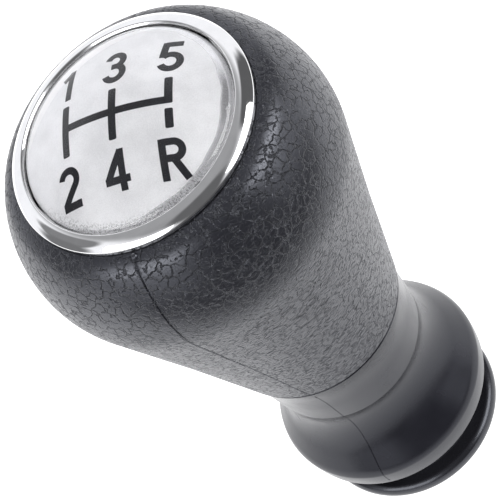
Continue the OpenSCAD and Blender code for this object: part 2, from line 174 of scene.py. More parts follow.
class PatternSizes(bpy.types.PropertyGroup):
    bar_width: length("Bar width", "Width of the shift pattern's bars", 1.1 * MM)
    bar_up: length("Bar up", "Distance from the crossbar up to a lane's end", 3.6 * MM)
    bar_down: length("Bar down", "Distance from the crossbar down to a lane's end", 4.2 * MM)
    bar_gap: length("Bar gap", "Distance from the crossbar to the separate lane", 1.3 * MM)
    bar_corner: length("Bar corner", "Radius of the bars' corners", 0.22 * MM)
    left_lane: length("Left lane", "Distance of the left lane from the middle", 7.35 * MM)
    right_lane: length("Right lane", "Distance of the right lane from the middle", 7.8 * MM)
    number_height: length("Number height", "Height of the numbers", 5.55 * MM)
    upper_row: length("Upper row", "Distance from the crossbar to the upper numbers", 7.45 * MM)
    lower_row: length("Lower row", "Distance from the crossbar to the lower numbers", 8.4 * MM)
    stroke_width: length("Stroke width", "Width of the numbers' strokes", 0.98 * MM)
    relief: length("Relief", "How far the print stands proud", 0.03 * MM)


class KnobColours(bpy.types.PropertyGroup):
    grip: colour("Grip", "Soft grained skin", (0.012, 0.012, 0.0155))
    collar: colour("Collar", "Smooth collar", (0.012, 0.012, 0.016))
    flange: colour("Flange", "Base flange", (0.012, 0.012, 0.0145))
    chrome: colour("Chrome", "Plated ring", (0.88, 0.88, 0.88))
    plate: colour("Plate", "Silver plate", (0.82, 0.82, 0.83))
    print_ink: colour("Print", "Shift pattern and numbers", (0.008, 0.008, 0.010))
    bush: colour("Bush", "Slit bush that takes the lever", (0.16, 0.17, 0.18))
    core: colour("Core", "Inner moulding under the skin", (0.30, 0.28, 0.25))
    seat: colour("Badge seat", "Disc that carries the badge", (0.04, 0.04, 0.043))
    pad: colour("Badge pad", "Foam under the plate", (0.02, 0.02, 0.021))
    spring: colour("Spring clip", "Steel band round the bush", (0.55, 0.56, 0.58))


GROUPS = {
    "knob_grip": GripSizes,
    "knob_collar": CollarSizes,
    "knob_ring": RingSizes,
    "knob_flange": FlangeSizes,
    "knob_pattern": PatternSizes,
    "knob_colours": KnobColours,
}


# ---------------------------------------------------------------- outlines
# An outline is a chain of arcs. An arc is (centre, radius, start angle, end angle), with the
# angle of its outward normal above the horizontal, and a negative radius where it is hollow.


def normal_at(a):
    return Vector((math.cos(a), math.sin(a)))


def arc_from(point, radius, a0, a1):
    """An arc whose upper end is that point."""
    return point - radius * normal_at(a0), radius, a0, a1


def arc_up_from(point, radius, a0, a1):
    """An arc whose lower end is that point."""
    return point - radius * normal_at(a1), radius, a0, a1


def arc_top(arc):
    return arc[0] + arc[1] * normal_at(arc[2])


def arc_foot(arc):
    return arc[0] + arc[1] * normal_at(arc[3])


def arc_points(arc, inset=0.0):
    centre, radius, a0, a1 = arc
    count = max(2, math.ceil(abs(a1 - a0) / ARC_STEP))
    return [centre + (radius - inset) * normal_at(a0 + (a1 - a0) * i / count)
            for i in range(count + 1)]


def outline(arcs, inset=0.0):
    """Points of a chain of arcs, moved inwards by the inset."""
    points = []
    for arc in arcs:
        for point in arc_points(arc, inset):
            if not points or (point - points[-1]).length > SAME:
                points.append(point)
    return points


# ---------------------------------------------------------------- modelling


def clear_selection():
    if bpy.context.object and bpy.context.object.mode != "OBJECT":
        bpy.ops.object.mode_set(mode="OBJECT")
    bpy.ops.object.select_all(action="DESELECT")


def select_only(obj):
    clear_selection()
    obj.select_set(True)
    bpy.context.view_layer.objects.active = obj


def select_where(obj, elements, chosen):
    """Selects only the chosen verts, edges or faces in edit mode, and says how many they are."""
    bpy.ops.mesh.select_all(action="DESELECT")
    mesh = bmesh.from_edit_mesh(obj.data)
    found = [element for element in getattr(mesh, elements) if chosen(element)]
    for element in found:
        element.select_set(True)
    bmesh.update_edit_mesh(obj.data)
    return len(found)


def pick_edges(obj, chosen):
    """Goes to edit mode with the edges selected whose two vertices are both chosen."""
    select_only(obj)
    bpy.ops.object.mode_set(mode="EDIT")
    select_where(obj, "edges", lambda edge: all(chosen(v) for v in edge.verts))


def finish_piece(obj, name):
    """Puts the piece's place into its mesh, names it and shades it."""
    select_only(obj)
    bpy.ops.object.transform_apply(location=True, rotation=True, scale=True)
    bpy.ops.object.shade_smooth_by_angle(angle=SMOOTH_ANGLE)
    obj.name = name
    obj.data.name = name
    return obj


def modify(obj, kind, **settings):
    """Gives the piece a modifier with those settings and applies it."""
    modifier = obj.modifiers.new(kind.lower(), kind)
    for name, setting in settings.items():
        setattr(modifier, name, setting)
    bpy.ops.object.modifier_apply(modifier=modifier.name)


def own_copy(obj):
    """A copy of the piece with its own mesh."""
    copy = obj.copy()
    copy.data = obj.data.copy()
    bpy.context.scene.collection.objects.link(copy)
    return copy


def extrude_by(x, y, z):
    bpy.ops.mesh.extrude_region_move(TRANSFORM_OT_translate={"value": (x, y, z)})


def drawn(points):
    """A new piece in edit mode, a vertex that is extruded through those (x, y, z) points."""
    clear_selection()
    bpy.ops.mesh.primitive_plane_add(size=MM, location=(0, 0, 0))
    bpy.ops.object.mode_set(mode="EDIT")
    bpy.ops.mesh.merge(type="CENTER")
    bpy.ops.transform.translate(value=points[0])
    for last, point in zip(points, points[1:]):
        extrude_by(*(to - at for at, to in zip(last, point)))
    bpy.ops.mesh.select_all(action="SELECT")
    return bpy.context.object


def upright(points):
    """(radius, height) points on the XZ plane."""
    return [(point[0], 0, point[1]) for point in points]


def spun(name, points, steps=SPIN_STEPS, closed=True):
    """An outline of (radius, height) points, spun about Z."""
    obj = drawn(upright(list(points) + ([points[0]] if closed else [])))
    bpy.ops.mesh.spin(steps=steps, angle=2 * math.pi, center=(0, 0, 0), axis=(0, 0, 1))
    bpy.ops.mesh.select_all(action="SELECT")
    bpy.ops.mesh.remove_doubles(threshold=SAME)
    bpy.ops.mesh.normals_make_consistent(inside=False)
    bpy.ops.object.mode_set(mode="OBJECT")
    return finish_piece(obj, name)


def bevel_ring(obj, z, radius, size):
    """Rounds the edge that runs round the piece at that height and radius."""
    near = 0.03 * MM

    def on_ring(v):
        return abs(v.co.z - z) < near and abs(v.co.xy.length - radius) < near

    pick_edges(obj, on_ring)
    bpy.ops.mesh.bevel(offset=size, segments=3, affect="EDGES")
    bpy.ops.object.mode_set(mode="OBJECT")


def parting_line(obj, points, width, depth):
    """Cuts the fine groove of the mould's parting line into the front and back of a piece."""
    near = 0.02 * MM

    def on_line(v):
        return abs(v.co.x) < 0.01 * width and any(
            abs(abs(v.co.y) - p.x) < near and abs(v.co.z - p.y) < near for p in points)

    pick_edges(obj, on_line)
    bpy.ops.mesh.bevel(offset=width / 2, segments=2, affect="EDGES")
    select_where(obj, "verts", on_line)
    bpy.ops.transform.resize(value=(1, 1 - 2 * depth / obj.dimensions.y, 1),
                             center_override=(0, 0, 0))
    bpy.ops.object.mode_set(mode="OBJECT")


def merged_copy(node, name):
    """A smooth-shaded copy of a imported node, its loose triangles joined at their edges."""
    obj = own_copy(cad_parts[node])
    obj.parent = None
    for key in list(obj.keys()):
        del obj[key]
    select_only(obj)
    bpy.ops.object.mode_set(mode="EDIT")
    bpy.ops.mesh.select_all(action="SELECT")
    bpy.ops.mesh.remove_doubles(threshold=SAME)
    bpy.ops.object.mode_set(mode="OBJECT")
    return finish_piece(obj, name)


def plate_of(section, thickness):
    """A flat plate of that (radius, height) section, standing on the XZ plane."""
    obj = drawn(upright(section))
    bpy.ops.mesh.edge_face_add()
    bpy.ops.object.mode_set(mode="OBJECT")
    modify(obj, "SOLIDIFY", thickness=thickness, offset=0)
    return obj


def turned_copies(obj, count):
    """The piece and its copies, set evenly round Z."""
    pieces = [obj]
    for i in range(1, count):
        copy = own_copy(obj)
        copy.data.transform(Matrix.Rotation(2 * math.pi * i / count, 4, "Z"))
        pieces.append(copy)
    return pieces


def joined(pieces, name):
    """Several pieces as one."""
    clear_selection()
    for piece in pieces:
        piece.select_set(True)
    bpy.context.view_layer.objects.active = pieces[0]
    bpy.ops.object.join()
    return finish_piece(bpy.context.object, name)


# The gate mark's lean, its steps round, and the angle above its foot at which its dome starts
GATE_LEAN = math.radians(20)
GATE_STEPS = 24
GATE_FOOT = 0.1


def gate_mark(radius, at):
    """The small round mark that the mould's gate left beside the ring, on the front line, sunk
    into the skin by a third of its radius."""
    dome = outline([(Vector((0, 0)), radius, GATE_FOOT, math.pi / 2)])
    section = [Vector((0, 0)), Vector((radius, 0))] + dome
    obj = spun("gate_mark", section, steps=GATE_STEPS, closed=False)
    obj.data.transform(Matrix.Rotation(GATE_LEAN, 4, "X"))
    obj.data.transform(Matrix.Translation((0, -at.x, at.y - radius / 3)))
    return obj


def place(obj, slot, material, *nodes):
    """Gives a piece its material and its place in the model, and hides the imported nodes that it
    replaces. The slot is not used.
    """
    obj.data.materials.clear()
    obj.data.materials.append(material)
    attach(obj, "root")
    if nodes:
        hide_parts(*nodes)


# ---------------------------------------------------------------- the printed shift pattern

# Longest side of the print's faces, which bend over the plate, and the largest turn between two
# points of a stroke's arc
PRINT_STEP = 0.4 * MM
PRINT_TURN = 3 * ARC_STEP
# The signs as strokes in a box one unit high. A stroke is its start, its heading in degrees and
# its steps, a length to go on or the radius and the degrees of a turn, which is left if positive.
SIGNS = {
    "1": (((0.35, 0.0), 90, (1.0,)), ((0.37, 0.93), 218, (0.33,))),
    "2": (((0.09, 0.74), 78, ((0.225, -210), 0.575)), ((0.03, 0.082), 0, (0.56,))),
    "3": (((0.127, 0.77), 75, ((0.2, -245),)), ((0.352, 0.532), -8, ((0.225, -246),)),
          ((0.23, 0.525), 0, (0.12,))),
    "4": (((0.47, 0.97), -120, (0.8,)), ((0.0, 0.27), 0, (0.65,)), ((0.46, 0.0), 90, (1.0,))),
    "5": (((0.57, 0.918), 180, (0.42,)), ((0.18, 0.99), -96, (0.53,)),
          ((0.135, 0.468), 50, ((0.235, -300),))),
    "R": (((0.09, 0.0), 90, (1.0,)), ((0.09, 0.918), 0, (0.26, (0.2, -180), 0.26)),
          ((0.33, 0.52), -61, (0.58,))),
}
SIGN_MIDDLE = 0.32
# Blender's spin turns the other way round than its axis says
SPIN_WAY = -1


def bar(x0, y0, x1, y1, corner):
    """A flat bar with round corners, with enough faces to be bent over the plate."""
    clear_selection()
    across, along = (max(2, round(side / PRINT_STEP)) for side in (x1 - x0, y1 - y0))
    bpy.ops.mesh.primitive_grid_add(x_subdivisions=across, y_subdivisions=along, size=1,
                                    location=((x0 + x1) / 2, (y0 + y1) / 2, 0))
    obj = bpy.context.object
    obj.scale = (x1 - x0, y1 - y0, 1)
    bpy.ops.object.transform_apply(location=True, rotation=True, scale=True)
    bpy.ops.object.mode_set(mode="EDIT")
    select_where(obj, "verts", lambda v: len(v.link_edges) == 2)
    bpy.ops.mesh.bevel(offset=corner, segments=3, affect="VERTICES")
    bpy.ops.object.mode_set(mode="OBJECT")
    return obj


def left_of(heading):
    return Vector((-math.sin(heading), math.cos(heading)))


def stroke(at, heading, steps, scale, width):
    """A flat ribbon, made from a short edge that is extruded and spun along the stroke."""
    left = left_of(heading)
    edge = at + left * width / 2
    obj = drawn([(edge.x, edge.y, 0), (edge.x - left.x * width, edge.y - left.y * width, 0)])
    for step in steps:
        if isinstance(step, tuple):
            radius, turn = step[0] * scale, math.radians(step[1])
            centre = at + left_of(heading) * math.copysign(radius, turn)
            bpy.ops.mesh.spin(steps=math.ceil(abs(turn) / PRINT_TURN), angle=SPIN_WAY * turn,
                              center=(centre.x, centre.y, 0), axis=(0, 0, 1))
            at = centre + Matrix.Rotation(turn, 2) @ (at - centre)
            heading += turn
        else:
            ahead = normal_at(heading) * step * scale
            count = math.ceil(ahead.length / PRINT_STEP)
            for _ in range(count):
                extrude_by(ahead.x / count, ahead.y / count, 0)
            at = at + ahead
    bmesh.from_edit_mesh(obj.data).normal_update()
    if select_where(obj, "faces", lambda face: face.normal.z < 0):
        bpy.ops.mesh.flip_normals()
    bpy.ops.object.mode_set(mode="OBJECT")
    return obj


def sign_strokes(sign, x, y, height, width):
    """The flat strokes of a sign, with its middle at x, y."""
    origin = Vector((x - SIGN_MIDDLE * height, y - height / 2))
    return [stroke(origin + Vector(start) * height, math.radians(heading), steps, height, width)
            for start, heading, steps in SIGNS[sign]]


def laid_on(obj, plate, relief):
    """Bends a flat print over the plate and gives it its thickness."""
    select_only(obj)
    bpy.ops.transform.translate(value=(0, 0, PLATE_HIGH.z + MM))
    finish_piece(obj, obj.name)
    modify(obj, "SHRINKWRAP", target=plate, wrap_method="PROJECT", use_project_z=True,
           use_positive_direction=False, use_negative_direction=True,
           wrap_mode="ABOVE_SURFACE", offset=relief)
    modify(obj, "SOLIDIFY", thickness=2 * relief, offset=-1)
    return finish_piece(obj, obj.name)


# ---------------------------------------------------------------- materials


class NodeTree:
    """Short ways to add nodes to the tree of a material or of the world."""

    def __init__(self, tree):
        self.nodes, self.links = tree.nodes, tree.links

    def feed(self, value, node, socket):
        """Links an output to a node's input, or sets the input to a plain value."""
        if isinstance(value, bpy.types.NodeSocket):
            self.links.new(value, node.inputs[socket])
        else:
            node.inputs[socket].default_value = value

    def add(self, kind, *values, **settings):
        """A node of that kind with those settings, the values fed to its first inputs."""
        node = self.nodes.new("ShaderNode" + kind)
        for name, setting in settings.items():
            setattr(node, name, setting)
        for i, value in enumerate(values):
            self.feed(value, node, i)
        return node

    def math(self, operation, first, second):
        return self.add("Math", first, second, operation=operation).outputs[0]

    def ranged(self, value, low, high, to_low=0.0, to_high=1.0):
        """Takes low to high over to another range, smoothly and no further than its ends."""
        return self.add("MapRange", value, low, high, to_low, to_high,
                        interpolation_type="SMOOTHSTEP").outputs["Result"]

    def dot(self, vector, direction):
        return self.add("VectorMath", vector, direction, operation="DOT_PRODUCT").outputs["Value"]

    def unseen(self):
        """0 for what the camera sees, and 1 for what only lights the knob or mirrors in it."""
        return self.math("SUBTRACT", 1, self.add("LightPath").outputs["Is Camera Ray"])


# Most values of a noise lie between these
NOISE_SPAN = (0.3, 0.7)


class Finish(NodeTree):
    """A material with a principled shader and with patterns on Object coordinates."""

    def __init__(self, name, base, roughness, metallic=0.0, specular=0.5):
        self.material = bpy.data.materials.new(name)
        self.material.use_nodes = True
        super().__init__(self.material.node_tree)
        self.shader = self.nodes["Principled BSDF"]
        self.give("Base Color", (*base, 1))
        self.give("Roughness", roughness)
        self.give("Metallic", metallic)
        self.give("Specular IOR Level", specular)
        self.place = self.add("TexCoord").outputs["Object"]

    def give(self, socket, value):
        """Sets or links an input of the shader."""
        self.feed(value, self.shader, socket)

    def noise(self, size, detail=2.0, vector=None, output="Fac"):
        node = self.add("TexNoise", vector or self.place)
        node.inputs["Scale"].default_value = 1 / size
        node.inputs["Detail"].default_value = detail
        return node.outputs[output]

    def cells(self, size, vector=None):
        """Distance to the edges of cells of that size, as a share of it."""
        node = self.add("TexVoronoi", vector or self.place, feature="DISTANCE_TO_EDGE")
        node.inputs["Scale"].default_value = 1 / size
        return node.outputs["Distance"]

    def spread(self, noise, to_low=0.0, to_high=1.0):
        """Takes a noise over to that range."""
        return self.ranged(noise, *NOISE_SPAN, to_low, to_high)

    def stretched(self, scale, vector=None):
        node = self.add("Mapping", vector or self.place)
        node.inputs["Scale"].default_value = scale
        return node.outputs["Vector"]

    def warped(self, size, reach):
        """Object coordinates, pushed about by noise of that size over that distance."""
        centred = self.add("VectorMath", self.noise(size, output="Color"), (0.5, 0.5, 0.5),
                           operation="SUBTRACT")
        scaled = self.add("VectorMath", centred.outputs[0], operation="SCALE")
        scaled.inputs["Scale"].default_value = reach
        return self.add("VectorMath", self.place, scaled.outputs[0], operation="ADD").outputs[0]

    def along(self, axis):
        return self.add("SeparateXYZ", self.place).outputs[axis]

    def from_axis(self):
        """Distance from the knob's axis."""
        flat = self.add("VectorMath", self.place, (1, 1, 0), operation="MULTIPLY")
        return self.add("VectorMath", flat.outputs[0], operation="LENGTH").outputs["Value"]

    def bump(self, height, depth, under=None):
        """Relief of that depth, over the relief under it if there is one."""
        node = self.add("Bump")
        node.inputs["Distance"].default_value = depth
        self.feed(height, node, "Height")
        if under:
            self.feed(under, node, "Normal")
        self.give("Normal", node.outputs["Normal"])
        return node.outputs["Normal"]

    def tint(self, value, dark, light):
        """Colours the surface between dark and light as value goes from 0 to 1."""
        node = self.add("Mix", value, data_type="RGBA")
        node.inputs["A"].default_value = (*dark, 1)
        node.inputs["B"].default_value = (*light, 1)
        self.give("Base Color", node.outputs["Result"])


# Tint of the plastics' own shine
COOL = (0.87, 0.90, 1.0, 1)
# Waves and clouds of the smooth plastics, the clouds' shades, and how far the roughness strays
WAVE_SIZE, WAVE_DEPTH = 0.6 * MM, 0.006 * MM
CLOUD_SIZE, CLOUD_SHADES = 6 * MM, (0.92, 1.08)
STRAY = 0.04


def shades(base, factors):
    """The colour made darker or lighter by each factor."""
    return [tuple(min(1.0, c * factor) for c in base) for factor in factors]


def moulded(name, base, roughness, gloss=0.41):
    """Smooth moulded plastic: faint waviness, and a gloss that varies a little."""
    finish = Finish(name, base, roughness, specular=gloss)
    cloud = finish.noise(CLOUD_SIZE)
    finish.give("Roughness", finish.spread(cloud, roughness - STRAY, roughness + STRAY))
    finish.tint(finish.spread(cloud), *shades(base, CLOUD_SHADES))
    finish.give("Specular Tint", COOL)
    finish.bump(finish.noise(WAVE_SIZE, 3), WAVE_DEPTH)
    return finish.material


# The skin's leather grain. Between these heights its fine lines give way to broad cells
GRAIN_CHANGE = (77 * MM, 87 * MM)
# Size of the cells of both kinds, width of the grooves between them as a share of a cell, and the
# noise, by size and range, that breaks the grooves off
BROAD_CELL, BROAD_GROOVE, BROAD_BREAKS = 1.5 * MM, 0.085, (1.1 * MM, 0.5, 0.61)
FINE_CELL, FINE_GROOVE, FINE_BREAKS = 1.35 * MM, 0.12, (0.9 * MM, 0.6, 0.72)
# How much of the fine lines fades at the crown, and of the broad cells below it
FINE_FADE, BROAD_FADE = 0.85, 0.15
# The cells' wander, by size and reach. The fine lines lie across the grip
BROAD_WANDER, FINE_WANDER = (0.65 * MM, 0.75 * MM), (0.9 * MM, 0.5 * MM)
FINE_STRETCH = (1, 1, 2.7)
GRAIN_DEPTH = 0.2 * MM
# Shade and roughness of the grooves and of the cells between them; the grooves' darker colour is
# painted shade in them
GRAIN_PAINTED_SHADES, GRAIN_ROUGHNESS = (0.25, 1.1), (0.5, 0.29)
PORE_SIZE, PORE_DEPTH = 0.2 * MM, 0.007 * MM
DOT_SIZE, DOT_RANGE, DOT_DEPTH = 0.45 * MM, (0.62, 0.68), 0.09 * MM


def grained_skin(base):
    """Soft skin with a leather grain: broad smooth cells at the crown, fine waves below it."""
    finish = Finish("soft grained skin", base, 0.3, specular=0.88)

    def grooves(size, vector, width, breaks):
        """0 in the grooves between cells and 1 on the cells and where a groove breaks off."""
        between = finish.ranged(finish.cells(size, vector), 0.0, width)
        broken = finish.ranged(finish.noise(breaks[0]), *breaks[1:])
        return finish.math("MAXIMUM", between, broken)

    crown = finish.ranged(finish.along("Z"), *GRAIN_CHANGE)
    broad = grooves(BROAD_CELL, finish.warped(*BROAD_WANDER), BROAD_GROOVE, BROAD_BREAKS)
    wavy = finish.stretched(FINE_STRETCH, finish.warped(*FINE_WANDER))
    fine = grooves(FINE_CELL, wavy, FINE_GROOVE, FINE_BREAKS)
    faded = finish.math("MAXIMUM", fine, finish.math("MULTIPLY", crown, FINE_FADE))
    below = finish.math("SUBTRACT", 1, finish.math("ADD", crown, BROAD_FADE))
    height = finish.math("MULTIPLY", faded, finish.math("MAXIMUM", broad, below))
    dots = finish.math("MULTIPLY", finish.ranged(finish.noise(DOT_SIZE), *DOT_RANGE), crown)
    pores = finish.bump(finish.noise(PORE_SIZE), PORE_DEPTH)
    finish.bump(height, GRAIN_DEPTH, under=finish.bump(dots, DOT_DEPTH, under=pores))
    # Painted shade: the grooves are coloured much darker than the cells
    finish.tint(height, *shades(base, GRAIN_PAINTED_SHADES))
    finish.give("Roughness", finish.ranged(height, 0, 1, *GRAIN_ROUGHNESS))
    finish.give("Specular Tint", COOL)
    return finish.material


# Smears on the chrome, with their shades and roughness, and its slow waves
SMEAR_SIZE, SMEAR_RANGE = 1.8 * MM, (0.35, 0.75)
SMEAR_SHADES, SMEAR_ROUGHNESS = (0.96, 1), (0.04, 0.08)
SWELL_SIZE, SWELL_DEPTH = 2.5 * MM, 0.006 * MM


def chrome_plating(base):
    """Mirror chrome with faint smears and slow waves."""
    finish = Finish("bright chrome", base, 0.06, metallic=1.0)
    smear = finish.noise(SMEAR_SIZE, 4)
    finish.give("Roughness", finish.ranged(smear, *SMEAR_RANGE, *SMEAR_ROUGHNESS))
    finish.tint(finish.spread(smear), *shades(base, SMEAR_SHADES))
    finish.bump(finish.noise(SWELL_SIZE), SWELL_DEPTH)
    return finish.material


# The plate's sparkle and clouds, half and half, how strong they are, and their shades
SPARKLE_SIZE, SPARKLE_DEPTH, HAZE_SIZE = 0.16 * MM, 0.003 * MM, 4 * MM
PLATE_TONE, PLATE_SHADES = (0.72, 1.0), (0.4, 1.06)
# The plate's satin and its bright rim: roughness and metallic of both, and where the rim starts
# and is whole, measured in from the plate's edge. The rim is wider on the right, by this share
SATIN, BRIGHT = (0.34, 0.6), (0.12, 0.92)
RIM_BAND = (1.3 * MM, 0.5 * MM)
RIM_WIDENING, RIM_WANDER_SIZE, RIM_WANDER = 0.05, 5 * MM, 0.3 * MM
# Dark specks in the plate's colour near its rim, measured in from the edge, and from where to
# where towards the front they grow dense
SPECK_SIZE, SPECK_RANGE, SPECK_BAND = 0.22 * MM, (0.5, 0.58), (2.0 * MM, 1.0 * MM)
SPECK_GROWTH, SPECK_STRENGTH = (-6 * MM, -14 * MM), 0.6


def silver_plate(base):
    """Satin silver with a fine sparkle, faint clouds, and a bright rim with specks."""
    finish = Finish("satin silver", base, SATIN[0], metallic=SATIN[1])
    edge, span = DOME_HIGH.x, finish.from_axis()
    sparkle = finish.noise(SPARKLE_SIZE)
    halves = [finish.math("MULTIPLY", noise, 0.5) for noise in (sparkle, finish.noise(HAZE_SIZE))]
    tone = finish.spread(finish.math("ADD", *halves), *PLATE_TONE)
    widened = finish.math("ADD", finish.math("MULTIPLY", finish.along("X"), RIM_WIDENING),
                          finish.spread(finish.noise(RIM_WANDER_SIZE, 1), 0, RIM_WANDER))
    rim = finish.ranged(finish.math("ADD", span, widened), *(edge - inset for inset in RIM_BAND))
    ring = finish.ranged(span, *(edge - inset for inset in SPECK_BAND))
    below = finish.ranged(finish.along("Y"), *SPECK_GROWTH, 0, SPECK_STRENGTH)
    specks = finish.math("MULTIPLY", finish.ranged(finish.noise(SPECK_SIZE, 3), *SPECK_RANGE),
                         finish.math("MULTIPLY", ring, below))
    finish.tint(finish.math("SUBTRACT", tone, specks), *shades(base, PLATE_SHADES))
    for socket, satin, bright in zip(("Roughness", "Metallic"), SATIN, BRIGHT):
        finish.give(socket, finish.ranged(rim, 0, 1, satin, bright))
    finish.bump(sparkle, SPARKLE_DEPTH)
    return finish.material


# Clouds in the resin, blotches in the ink, the foam's holes and the steel's rolling lines
RESIN_CLOUD, RESIN_DEPTH = 4 * MM, 0.003 * MM
RESIN_TINTS = ((0.985, 0.985, 0.99), (1, 1, 1))
BLOTCH_SIZE, BLOTCH_SHADES, BLOTCH_DEPTH = 0.5 * MM, (1, 1.5), 0.002 * MM
HOLE_SIZE, HOLE_WALL, HOLE_SHADES, HOLE_DEPTH = 0.3 * MM, 0.3, (0.5, 1), 0.08 * MM
ROLLING_SIZE, ROLLING_STRETCH = 0.4 * MM, (0.12, 0.12, 6)
ROLLING_ROUGHNESS, ROLLING_DEPTH = (0.22, 0.36), 0.004 * MM


def clear_resin(name, index):
    """Clear resin of that refractive index. Where it sits on the plate nothing is refracted."""
    finish = Finish(name, (1, 1, 1), 0.02)
    finish.give("Transmission Weight", 1.0)
    finish.give("IOR", index)
    cloud = finish.noise(RESIN_CLOUD, 1)
    finish.tint(cloud, *RESIN_TINTS)
    finish.bump(cloud, RESIN_DEPTH)
    return finish.material


def ink(base):
    """Matt printing ink that covers a little unevenly."""
    finish = Finish("printed ink", base, 0.5, specular=0.1)
    blotch = finish.noise(BLOTCH_SIZE, 3)
    finish.tint(finish.spread(blotch), *shades(base, BLOTCH_SHADES))
    finish.bump(blotch, BLOTCH_DEPTH)
    return finish.material


def foam(base):
    """Foam with open cells."""
    finish = Finish("cell foam", base, 0.9)
    holes = finish.ranged(finish.cells(HOLE_SIZE), 0, HOLE_WALL)
    finish.bump(holes, HOLE_DEPTH)
    finish.tint(holes, *shades(base, HOLE_SHADES))
    return finish.material


def brushed_steel(base):
    """Strip steel with the lines of its rolling round the band."""
    finish = Finish("brushed spring steel", base, 0.28, metallic=1.0)
    lines = finish.noise(ROLLING_SIZE, 3, finish.stretched(ROLLING_STRETCH))
    finish.bump(lines, ROLLING_DEPTH)
    finish.give("Roughness", finish.spread(lines, *ROLLING_ROUGHNESS))
    return finish.material


# ---------------------------------------------------------------- outlines of the pieces


def grip_outline(s):
    """Outline of the grip from the chrome ring down to the seam."""
    belly = Vector((GRIP_HIGH.x, s.belly_height))
    crown = arc_up_from(belly, s.crown_radius, s.crown_turn, 0)
    shoulder = arc_up_from(arc_top(crown), s.shoulder_radius, s.rim_angle, s.crown_turn)
    seam = Vector((s.seam_radius, GRIP_LOW.z))
    run = Vector((belly.x - s.belly_radius - seam.x, belly.y - seam.y))
    middle = math.asin(s.belly_radius * math.cos(s.taper_hollow / 2) / run.length)
    middle += math.atan2(run.x, run.y)
    taper = middle + s.taper_hollow / 2
    round_belly = arc_from(belly, s.belly_radius, 0, -taper)
    chord = (arc_foot(round_belly).y - seam.y) / math.cos(middle)
    hollow = chord / (2 * math.sin(s.taper_hollow / 2))
    straight = arc_from(arc_foot(round_belly), -hollow, -taper, -(middle - s.taper_hollow / 2))
    return outline([shoulder, crown, round_belly, straight])


def ring_outline(s, rim, top):
    """Closed section of the chrome ring. rim is the outer radius, top the crest's height."""
    window = rim - s.width
    edge_top = s.edge_round * (math.cos(s.face_low) - 1)
    run = s.width - s.bevel_width + edge_top
    face_radius = run / (math.cos(s.face_low) - math.cos(s.face_top))
    edge = arc_up_from(Vector((rim, 0)), s.edge_round, s.face_low, 0)
    face = arc_up_from(arc_top(edge), face_radius, s.face_top, s.face_low)
    crest = arc_up_from(arc_top(face), s.crest_round, math.pi / 2 + s.bevel_angle, s.face_top)
    lift = top - (crest[0].y + s.crest_round)
    points = [point + Vector((0, lift)) for point in outline([crest, face, edge])]
    bevel_drop = (points[0].x - window) * math.tan(s.bevel_angle)
    ledge = points[-1].y - s.edge_height
    body = rim - s.overhang
    foot = RING_LOW.z + s.leg_length
    inner = window - s.web_reach
    return ([Vector((window, foot + s.web_thickness)), Vector((window, points[0].y - bevel_drop))]
            + points + [Vector((rim, ledge)), Vector((body, ledge)), Vector((body, foot)),
                        Vector((inner, foot)), Vector((inner, foot + s.web_thickness))])


def bell_arcs(s, brow_angle, brow_radius):
    """Flare, face, lower edge and lip of the bell, from the waist down. Its widest place is on
    the lower edge, which turns in below it by a sixth of its angle above it."""
    turned_in = brow_angle / 6
    brow = Vector((COLLAR_HIGH.x - brow_radius * (1 - math.cos(brow_angle)),
                   s.lip_base + s.lip_height + brow_radius * math.sin(brow_angle)))
    height = s.lip_base + s.lip_height + s.bell_height - brow.y
    out = brow.x - s.waist_radius
    flare = arc_from(Vector((s.waist_radius, brow.y + height)), -s.flare_radius, 0, s.flare_angle)
    room = height * math.sin(s.flare_angle) - out * math.cos(s.flare_angle) \
        - s.flare_radius * (1 - math.cos(s.flare_angle))
    face = arc_up_from(brow, room / (1 - math.cos(s.flare_angle - brow_angle)),
                       s.flare_angle, brow_angle)
    edge = arc_from(brow, brow_radius, brow_angle, -turned_in)
    lip_top = arc_foot(edge)
    lip_radius = (lip_top.y - s.lip_base) / (math.sin(s.lip_angle) - math.sin(turned_in))
    lip = arc_from(lip_top, lip_radius, -turned_in, -s.lip_angle)
    return [flare, face, edge, lip]


def neck_arcs(s, top):
    """Hollow neck, tuck and waist of the collar, from the seam down."""
    middle = (s.neck_angle + s.straight_angle) / 2
    radius = s.neck_height / math.cos(middle) \
        / (2 * math.sin((s.neck_angle - s.straight_angle) / 2))
    neck = arc_from(top, -radius, -s.neck_angle, -s.straight_angle)
    start = arc_foot(neck)
    step = s.tuck_radius * (normal_at(-s.tuck_angle) - normal_at(-s.straight_angle))
    half = math.tan(s.tuck_angle / 2)
    waist_z = s.lip_base + s.lip_height + s.bell_height
    straight = (start.y + step.y - waist_z - (start.x + step.x - s.waist_radius) / half) \
        / (1 - math.tan(s.straight_angle) / half)
    foot = start + straight * Vector((-math.tan(s.straight_angle), -1))
    tuck = arc_from(foot, s.tuck_radius, -s.straight_angle, -s.tuck_angle)
    inner = (arc_foot(tuck).x - s.waist_radius) / (1 - math.cos(s.tuck_angle))
    waist = arc_from(arc_foot(tuck), -inner, -s.tuck_angle, 0)
    return [neck, tuck, waist]


def cap_arc(edge_radius, edge_z, rise, lift=0.0):
    """Arc of a sphere's cap over a disc, from the axis out. lift makes a concentric larger one."""
    radius = (edge_radius ** 2 + rise ** 2) / (2 * rise)
    centre = Vector((0, edge_z + rise - radius))
    radius += lift
    return centre, radius, math.pi / 2, math.acos(edge_radius / radius)


# ---------------------------------------------------------------- studio

FLOOR_SIZE = 1.2
# The floor lies this far under the flange, so that their faces don't meet
FLOOR_DROP = 0.1 * MM
# The view of the photograph, its angles in degrees
AIM_HEIGHT = 59.64 * MM
CAMERA_DISTANCE = 345.9 * MM
CAMERA_AZIMUTH, CAMERA_ELEVATION, CAMERA_ROLL = 36, 50.8, -45
FOCAL_LENGTH = 169.3
SENSOR_WIDTH = 36
CAMERA_REACH = (0.01, 20)
